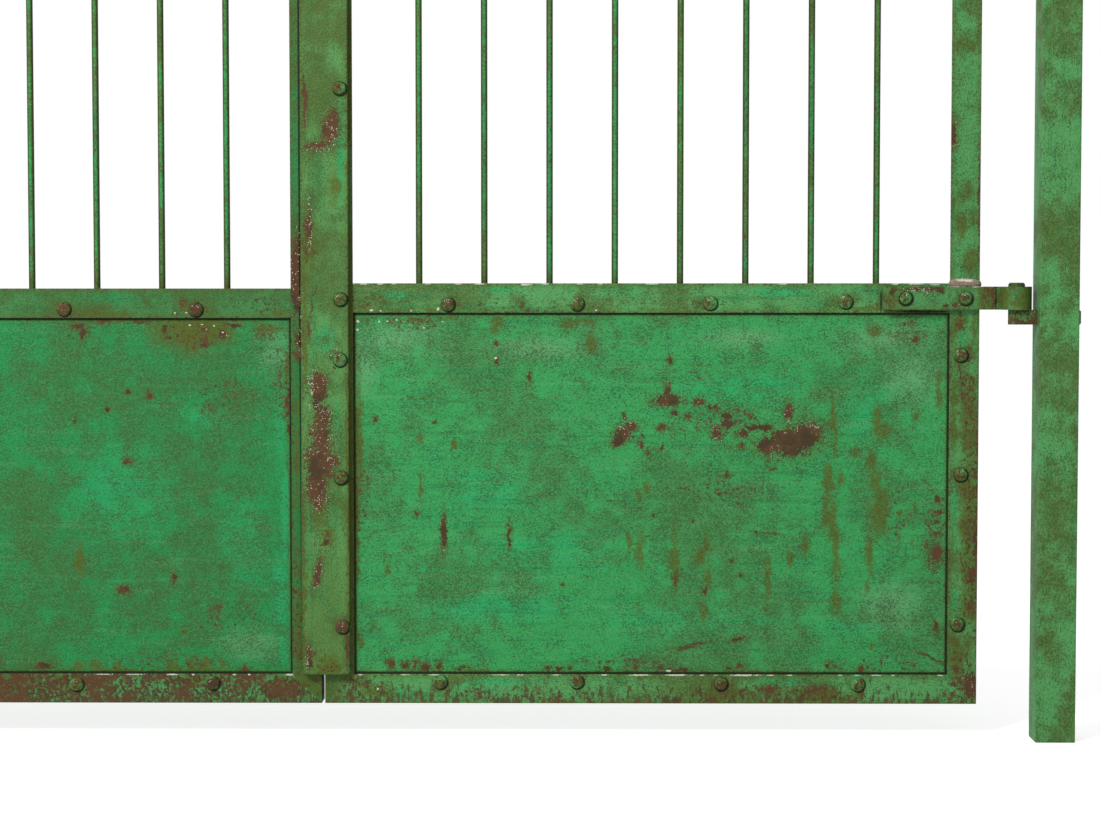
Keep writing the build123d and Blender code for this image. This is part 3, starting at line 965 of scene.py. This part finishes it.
def rivet_tree():
    """A round head, sunk a little into the iron, at each point of the geometry that comes in."""
    tree = bpy.data.node_groups.new("Rivet heads", "GeometryNodeTree")
    sockets = {
        "Places": "NodeSocketGeometry",
        "Head diameter": "NodeSocketFloat",
        "Unevenness": "NodeSocketFloat",
        "Seed": "NodeSocketInt",
        "Paint": "NodeSocketMaterial",
    }
    for name, kind in sockets.items():
        tree.interface.new_socket(name, in_out="INPUT", socket_type=kind)
    tree.interface.new_socket("Heads", in_out="OUTPUT", socket_type="NodeSocketGeometry")
    nodes = Nodes(tree)
    made = nodes.made
    given = nodes.node("NodeGroupInput").outputs
    seed = given["Seed"]

    ball = made("GeometryNodeMeshUVSphere", {"Segments": HEAD_SEGMENTS, "Rings": HEAD_RINGS, "Radius": 1.0})
    x, y, z = nodes.parts(made("GeometryNodeInputPosition", {}))[:3]
    dome = nodes.sum("POWER", nodes.most(z, 0.0), DOME)
    sunk = nodes.times(nodes.sum("LESS_THAN", z, -0.01), -SUNK)
    button = made("ShaderNodeCombineXYZ", {"X": x, "Y": y, "Z": nodes.add(dome, sunk)})
    head = made("GeometryNodeSetPosition", {"Geometry": ball, "Position": button})

    stored = "GeometryNodeInputNamedAttribute"
    facing = made(stored, {"Name": "facing"}, data_type="FLOAT_VECTOR")
    height = made(stored, {"Name": "height"}, data_type="FLOAT")
    share = made(stored, {"Name": "share"}, data_type="FLOAT")
    aim = made("FunctionNodeAlignRotationToVector", {"Vector": facing}, axis="Z")
    spin = made("FunctionNodeRandomValue", {"Max": 2 * math.pi, "Seed": seed}, data_type="FLOAT")
    turn = made("FunctionNodeAxisAngleToRotation", {"Axis": (0, 0, 1), "Angle": spin})
    turned = made("FunctionNodeRotateRotation", {"Rotation": aim, "Rotate By": turn}, rotation_space="LOCAL")
    least, most = RADIUS_SHARES
    width = made("FunctionNodeRandomValue", {"Min": least, "Max": most, "Seed": seed}, data_type="FLOAT")
    radius = nodes.times(given["Head diameter"], width, share)
    size = made("ShaderNodeCombineXYZ", {"X": radius, "Y": radius, "Z": height})

    heads = made(
        "GeometryNodeInstanceOnPoints",
        {"Points": given["Places"], "Instance": head, "Rotation": turned, "Scale": size},
    )
    heads = made("GeometryNodeRealizeInstances", {"Geometry": heads})
    lumps = made("ShaderNodeTexNoise", {"Scale": HAMMER_MARKS, "Detail": 2}, "Color")
    centred = nodes.vector("SUBTRACT", lumps, (0.5, 0.5, 0.5))
    shift = nodes.vector("SCALE", centred, nodes.times(given["Unevenness"], SHIFT))
    heads = made("GeometryNodeSetPosition", {"Geometry": heads, "Offset": shift})
    heads = made("GeometryNodeSetShadeSmooth", {"Geometry": heads})
    heads = made("GeometryNodeSetMaterial", {"Geometry": heads, "Material": given["Paint"]})
    made("NodeGroupOutput", {"Heads": heads})
    return tree


Head = namedtuple("Head", "place facing height share")


def heads_of(side, sizes):
    """Every head on a leaf, front and back, with its place, direction, height and share of full size."""
    leaf = LEAVES[side]
    towards, behind = Vector((0, -1, 0)), Vector((0, 1, 0))
    back_share = sizes.back_head / sizes.head
    heads = []

    def rivet(across, up, front, back, height=sizes.height, share=1.0):
        heads.append(Head(spot(leaf, across, up, front), towards, height, share))
        heads.append(Head(spot(leaf, across, up, back), behind, sizes.height * BACK_HEIGHT, back_share))

    leg_back = leaf.front + LEG_THICKNESS
    sheet_top = (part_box(f"{side}_panel")[1].z - leaf.bottom) / MM
    for across, up in FRAME_RIVETS[side]:
        rivet(across, up, leaf.front, PANEL_BACK)
    if side == "right":
        for across, up in COVER_RIVETS:
            rivet(across, up, COVER_FRONT, PANEL_BACK if up < sheet_top else leg_back)
    else:
        for across, up in SEAM_RIVETS:
            rivet(across, up, leaf.front, PANEL_BACK, sizes.low_height, SEAM_SHARE)
    for level in LEVELS:
        up = strap_middle(side, level)
        for across in STRAP_RIVETS_ACROSS:
            rivet(across, up, STRAP_FRONT, PANEL_BACK if up < sheet_top else leg_back, share=STRAP_SHARE)
    return heads


class GATE_OT_rivets(bpy.types.Operator):
    """Set the rivet heads on both leaves"""

    bl_idname = "gate.rivets"
    bl_label = "Rivets"

    def execute(self, context):
        sizes = context.scene.gate_rivets
        tree = rivet_tree()
        for side, leaf in LEAVES.items():
            heads = heads_of(side, sizes)
            values = {
                "Head diameter": sizes.head,
                "Unevenness": sizes.unevenness,
                "Seed": sizes.seed,
                "Paint": self.paint(side, heads),
            }
            points = bpy.data.meshes.new(f"{side} rivet places")
            points.from_pydata([head.place for head in heads], [], [])
            facing = points.attributes.new("facing", "FLOAT_VECTOR", "POINT")
            facing.data.foreach_set("vector", [part for head in heads for part in head.facing])
            for name in ("height", "share"):
                attribute = points.attributes.new(name, "FLOAT", "POINT")
                attribute.data.foreach_set("value", [getattr(head, name) for head in heads])
            carrier = placed(f"{side} rivet carrier", points)
            modifier = carrier.modifiers.new("Heads", "NODES")
            modifier.node_group = tree
            for item in tree.interface.items_tree:
                if item.name in values:
                    modifier[item.identifier] = values[item.name]
            mesh = evaluated(carrier)
            bpy.data.objects.remove(carrier)
            rivets = placed(f"{side}_rivets", mesh)
            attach(rivets, leaf.body)
        return {"FINISHED"}

    def paint(self, side, heads):
        """Pale flecks on the upper part of each head that paint a highlight, dirt on its crown, and some heads
        brown with rust.
        """
        leaf = LEAVES[side]
        rows = {"chip_and_glint": [], "scatter": [], "drip": []}
        rows["rust"] = [(across, up, COVERED, COVERED) for across, up in RUSTY_HEADS[side]]
        for head in (h for h in heads if h.facing.y < 0):
            across = (head.place.x - leaf.meeting) * leaf.away / MM
            up = (head.place.z - leaf.bottom) / MM
            rows["chip_and_glint"].append((across - leaf.away, up + HIGHLIGHT_RISE, *HIGHLIGHT_FLECKS))
            rows["scatter"].append((across, up, COVERED, COVERED))
            rows["drip"].append((across, up, CROWN, CROWN))
        return iron_paint(f"{side} rivet paint", RIVET_LOOK, leaf, rows, leaf.front)


# Weld beads, each a row of melted lumps

BEAD_START = 961
LUMPS = 7
# Shares of a bead's height: the least size of a lump, what chance adds to it, and its crest, where pale flecks
# paint a highlight
LUMP_SIZE = 0.36
LUMP_SPREAD = 0.28
CREST = 0.75
# Shares of a lump's size: how high it sits and how wide it is
LUMP_SEAT = 0.55
LUMP_WIDTH = 1.2
LUMP_DEPTH = 0.8
LUMP_LIFT = 0.0015
MELT = 0.0009
CREST_GLINT_BAND = 6


class GATE_OT_welds(bpy.types.Operator):
    """Lay a lumpy weld bead above each strap"""

    bl_idname = "gate.welds"
    bl_label = "Weld beads"

    def execute(self, context):
        sizes = context.scene.gate_weld
        paints = {side: self.paint(side, leaf, sizes) for side, leaf in LEAVES.items()}
        for number, (side, level) in enumerate((s, v) for s in LEAVES for v in LEVELS):
            bead = placed(f"{side}_{level}_weld", self.lumps(side, level, sizes, number))
            melt = bead.modifiers.new("Melt", "REMESH")
            melt.mode = "VOXEL"
            melt.voxel_size = MELT
            soften = bead.modifiers.new("Soften", "SMOOTH")
            soften.iterations = 3
            melted = evaluated(bead)
            bead.modifiers.clear()
            bead.data = melted
            melted.materials.clear()
            melted.materials.append(paints[side])
            melted.polygons.foreach_set("use_smooth", [True] * len(melted.polygons))
            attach(bead, LEAVES[side].body)
        return {"FINISHED"}

    def lumps(self, side, level, sizes, number):
        """The overlapping balls that one bead is melted from."""
        leaf = LEAVES[side]
        draw = random.Random(sizes.seed + number)
        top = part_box(f"{side}_{level}_strap")[1].z
        lumps = bmesh.new()
        for step in range(LUMPS):
            share = step / (LUMPS - 1)
            centre = spot(leaf, BEAD_START + share * sizes.span / MM, 0, leaf.front)
            size = sizes.rise * (LUMP_SIZE + LUMP_SPREAD * draw.random())
            centre.z = top + size * LUMP_SEAT + draw.uniform(0, LUMP_LIFT)
            shape = Vector((size * LUMP_WIDTH, sizes.depth * LUMP_DEPTH, size))
            ball = bmesh.ops.create_icosphere(lumps, subdivisions=3, radius=1)
            for vert in ball["verts"]:
                vert.co = centre + vert.co * shape
        mesh = bpy.data.meshes.new(f"{side} {level} weld")
        lumps.to_mesh(mesh)
        lumps.free()
        return mesh

    def paint(self, side, leaf, sizes):
        """Bead skin with pale flecks along the crest of each bead, which paint a highlight."""
        rows = []
        span = sizes.span / MM
        for level in LEVELS:
            top = (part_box(f"{side}_{level}_strap")[1].z - leaf.bottom) / MM
            rows.append((BEAD_START + span / 2, top + sizes.rise / MM * CREST, span, CREST_GLINT_BAND))
        return iron_paint(f"{side} weld paint", WELD_LOOK, leaf, {"edge": rows}, leaf.front)


# Studio

SENSOR_WIDTH = 36
FAR_CLIP = 100
FLOOR_GREY = 0.8
FLOOR_GLOW = 0.62
LAMP_SIZE = 1.1
LAMP_PLACE = Vector((-1.9, -3.4, 2.6))
WHITE = (1, 1, 1)


def seen(nodes):
    """1 for rays from the camera, or seen in gloss or through glass."""
    rays = nodes.node("ShaderNodeLightPath").outputs
    mirrored = nodes.most(rays["Is Glossy Ray"], rays["Is Transmission Ray"])
    return nodes.most(rays["Is Camera Ray"], mirrored)


class GATE_OT_studio(bpy.types.Operator):
    """Set up the camera, the floor and the light"""

    bl_idname = "gate.studio"
    bl_label = "Studio"

    def execute(self, context):
        scene = context.scene
        studio = scene.gate_studio
        scene.view_settings.view_transform = "Standard"
        self.camera(scene, studio)
        self.floor(studio)
        self.sky(scene, studio)
        self.lamp(studio)
        return {"FINISHED"}

    def camera(self, scene, studio):
        data = bpy.data.cameras.new("Camera")
        data.lens = studio.lens
        data.sensor_width = SENSOR_WIDTH
        data.clip_end = FAR_CLIP
        camera = placed("Camera", data)
        camera.location = studio.camera_place
        camera.rotation_euler = (math.pi / 2 - studio.look_down, 0, studio.turn)
        scene.camera = camera

    def floor(self, studio):
        middle = (CAD_BOX[0] + CAD_BOX[1]) / 2
        reach = studio.floor
        corners = [(-reach, -reach), (reach, -reach), (reach, reach), (-reach, reach)]
        mesh = bpy.data.meshes.new("Floor")
        mesh.from_pydata([(middle.x + x, y, 0.0) for x, y in corners], [], [(0, 1, 2, 3)])
        floor = placed("Floor", mesh)
        brush = Brush("Pale floor")
        matt = brush.made("ShaderNodeBsdfDiffuse", {"Color": [FLOOR_GREY] * 3})
        strength = brush.times(seen(brush), FLOOR_GLOW)
        glow = brush.made("ShaderNodeEmission", {"Color": WHITE, "Strength": strength})
        both = brush.node("ShaderNodeAddShader")
        brush.feed(both.inputs[0], matt)
        brush.feed(both.inputs[1], glow)
        brush.made("ShaderNodeOutputMaterial", {"Surface": both.outputs[0]})
        mesh.materials.append(brush.material)

    def sky(self, scene, studio):
        world = bpy.data.worlds.new("Sky")
        world.use_nodes = True
        scene.world = world
        world.node_tree.nodes.clear()
        nodes = Nodes(world.node_tree)
        strength = nodes.fade(seen(nodes), 0.0, 1.0, low=studio.sky)
        light = nodes.made("ShaderNodeBackground", {"Color": WHITE, "Strength": strength})
        nodes.made("ShaderNodeOutputWorld", {"Surface": light})

    def lamp(self, studio):
        data = bpy.data.lights.new("Soft lamp", "AREA")
        data.shape = "SQUARE"
        data.size = LAMP_SIZE
        data.energy = studio.lamp
        lamp = placed("Soft lamp", data)
        middle = (CAD_BOX[0] + CAD_BOX[1]) / 2
        lamp.location = middle + LAMP_PLACE
        lamp.rotation_euler = (middle - lamp.location).to_track_quat("-Z", "Y").to_euler()


class VIEW3D_PT_gate(bpy.types.Panel):
    """Lists the gate's pieces and its settings"""

    bl_label = "Gate"
    bl_space_type = "VIEW_3D"
    bl_region_type = "UI"
    bl_category = "Gate"

    def draw(self, context):
        layout = self.layout
        for operator in PIECES:
            layout.operator(operator.bl_idname)
        for name, group in SETTINGS.items():
            box = layout.box()
            box.label(text=group.__doc__)
            for prop in group.__annotations__:
                box.prop(getattr(context.scene, name), prop)


PIECES = (
    GATE_OT_paint_panels,
    GATE_OT_paint_frames,
    GATE_OT_paint_cover,
    GATE_OT_paint_bars,
    GATE_OT_paint_hinges,
    GATE_OT_paint_posts,
    GATE_OT_rivets,
    GATE_OT_welds,
    GATE_OT_studio,
)
SETTINGS = {
    "gate_paint": GatePaint,
    "gate_rivets": GateRivets,
    "gate_weld": GateWeld,
    "gate_studio": GateStudio,
}


def register():
    for group in SETTINGS.values():
        bpy.utils.register_class(group)
    for name, group in SETTINGS.items():
        setattr(bpy.types.Scene, name, bpy.props.PointerProperty(type=group))
    for operator in PIECES:
        bpy.utils.register_class(operator)
    bpy.utils.register_class(VIEW3D_PT_gate)


def unregister():
    bpy.utils.unregister_class(VIEW3D_PT_gate)
    for operator in reversed(PIECES):
        bpy.utils.unregister_class(operator)
    for name in SETTINGS:
        delattr(bpy.types.Scene, name)
    for group in SETTINGS.values():
        bpy.utils.unregister_class(group)


def main():
    register()
    bpy.ops.gate.paint_panels()
    bpy.ops.gate.paint_frames()
    bpy.ops.gate.paint_cover()
    bpy.ops.gate.paint_bars()
    bpy.ops.gate.paint_hinges()
    bpy.ops.gate.paint_posts()
    bpy.ops.gate.rivets()
    bpy.ops.gate.welds()
    bpy.ops.gate.studio()


if __name__ == "__main__":
    main()
